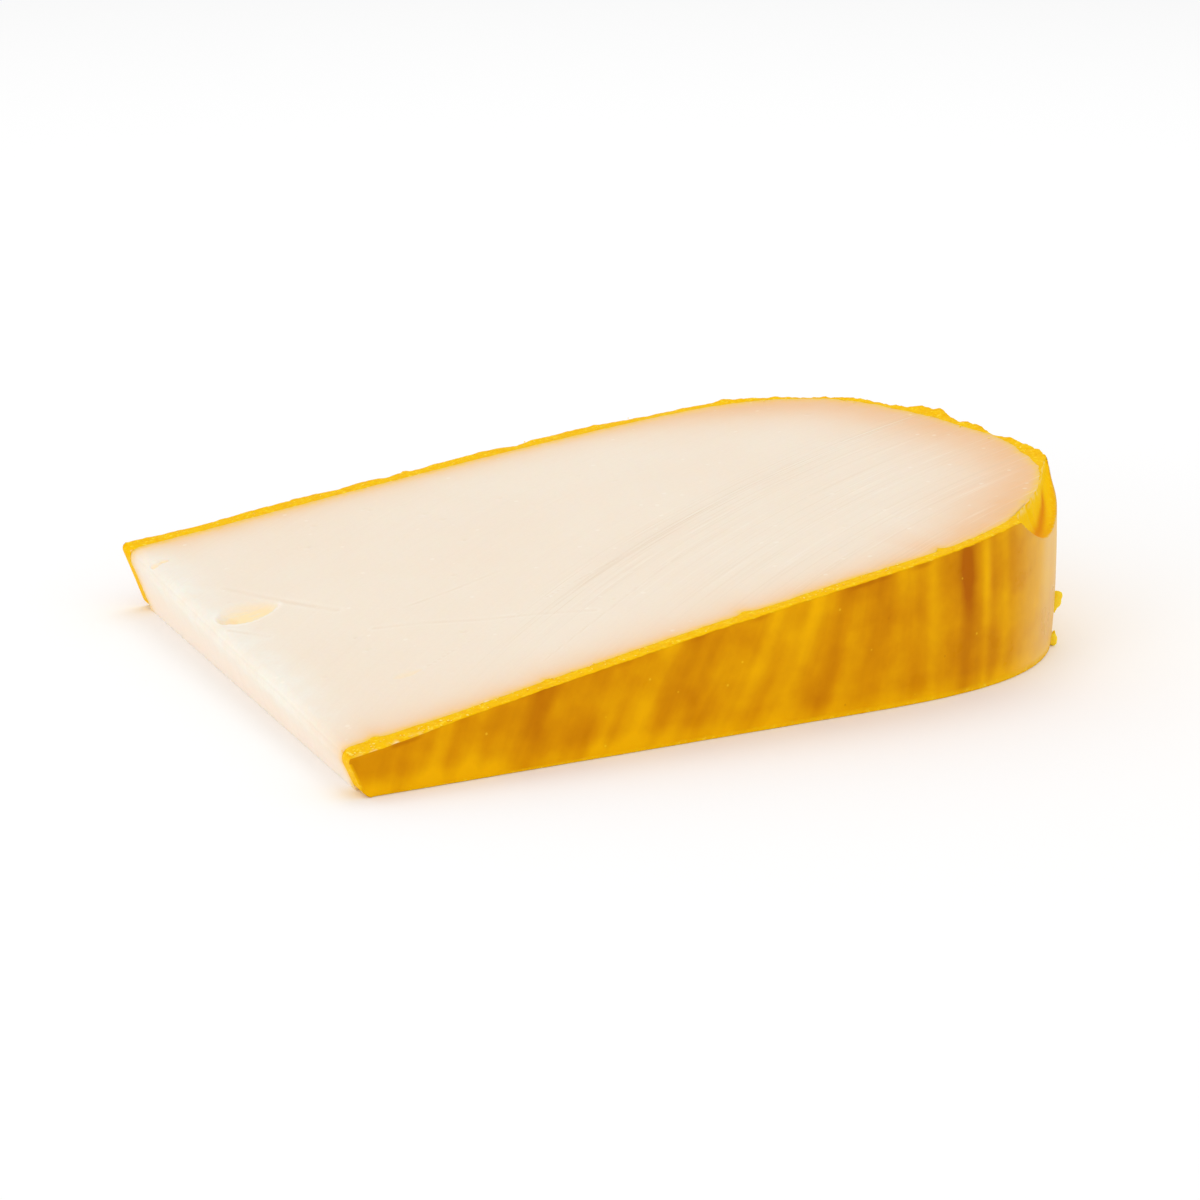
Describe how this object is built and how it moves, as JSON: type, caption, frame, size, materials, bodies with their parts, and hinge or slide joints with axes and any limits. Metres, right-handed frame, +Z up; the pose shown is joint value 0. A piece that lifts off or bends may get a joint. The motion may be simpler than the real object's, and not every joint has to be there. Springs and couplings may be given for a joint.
{
  "type": "cheese wedge",
  "caption": "Wedge of pale semi-hard cheese cut from a large wheel, with a yellow coated rind round its two flat sides and its rounded rim, lying on a cut face.",
  "frame": {"origin": "middle of the footprint's bounding box, on the surface that the wedge lies on", "axes": "+X from the thin tip to the thick rim, Y along the axis of the wheel that it was cut from, +Z up, away from the lower cut face"},
  "size_m": [0.146, 0.105, 0.0295],
  "materials": {
    "paste": "cream cheese paste, satin and slightly translucent, darker and pinker next to the rind",
    "coated_rind": "amber yellow cheese coating, semi-gloss with upright streaks, plain bright yellow where cut"
  },
  "bodies": {
    "root": {"paste": "paste", "coated_rind": "coated_rind"}
  },
  "joints": []
}
